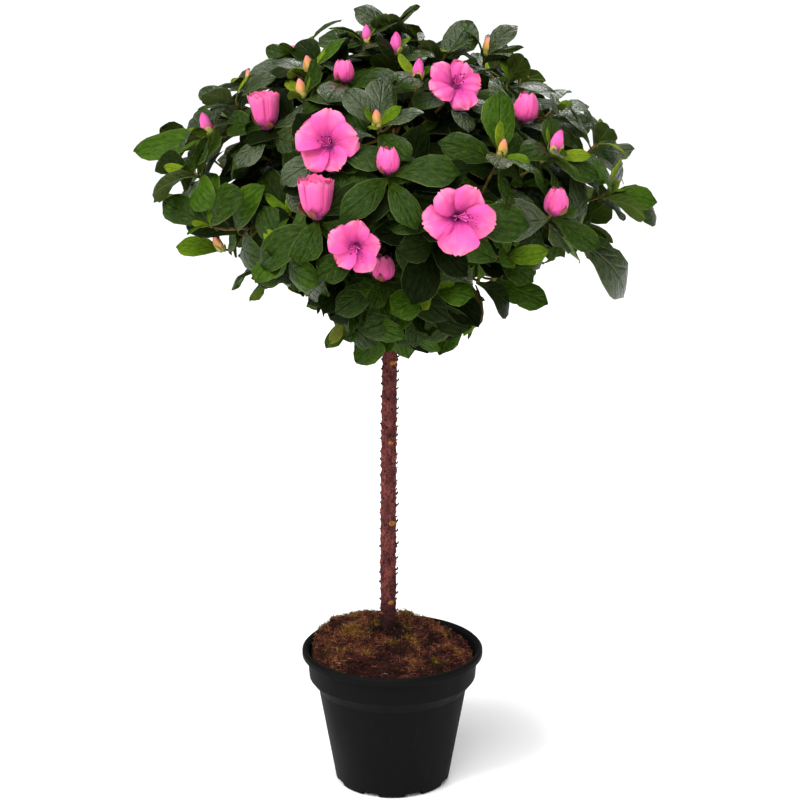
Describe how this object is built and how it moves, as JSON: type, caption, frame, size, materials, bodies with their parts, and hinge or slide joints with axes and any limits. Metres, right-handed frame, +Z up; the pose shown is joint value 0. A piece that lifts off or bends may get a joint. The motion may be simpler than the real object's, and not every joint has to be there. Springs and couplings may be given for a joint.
{
  "type": "potted standard azalea",
  "caption": "Round-headed azalea shrub on one bare upright stem, with pink blooms and buds, standing in a plain round nursery pot filled with peat.",
  "frame": {"origin": "middle of the pot's flat underside", "axes": "+Z up along the stem, -Y towards the front of the plant, +X to the right seen from the front"},
  "size_m": [0.4624, 0.4373, 0.7152],
  "materials": {
    "pot": "fine-grained matte black moulded plastic",
    "peat": "moist red-brown fibrous peat with tufts of moss",
    "bark": "rough dark red-brown bark with small leaf-scar stubs and orange-brown knots",
    "foliage": "satin dark green leaves with paler undersides, fresh young leaves and magenta-pink blooms"
  },
  "bodies": {
    "root": {"pot": "pot", "root_ball": "peat", "trunk": "bark", "bough_top": "bark", "bough_upper_1": "bark", "bough_upper_2": "bark", "bough_upper_3": "bark", "bough_upper_4": "bark", "bough_middle_1": "bark", "bough_middle_2": "bark", "bough_middle_3": "bark", "bough_middle_4": "bark", "bough_middle_5": "bark", "bough_middle_6": "bark", "bough_lower_1": "bark", "bough_lower_2": "bark", "bough_lower_3": "bark", "foliage_top": "foliage", "foliage_upper_1": "foliage", "foliage_upper_2": "foliage", "foliage_upper_3": "foliage", "foliage_upper_4": "foliage", "foliage_middle_1": "foliage", "foliage_middle_2": "foliage", "foliage_middle_3": "foliage", "foliage_middle_4": "foliage", "foliage_middle_5": "foliage", "foliage_middle_6": "foliage", "foliage_lower_1": "foliage", "foliage_lower_2": "foliage", "foliage_lower_3": "foliage"}
  },
  "joints": []
}
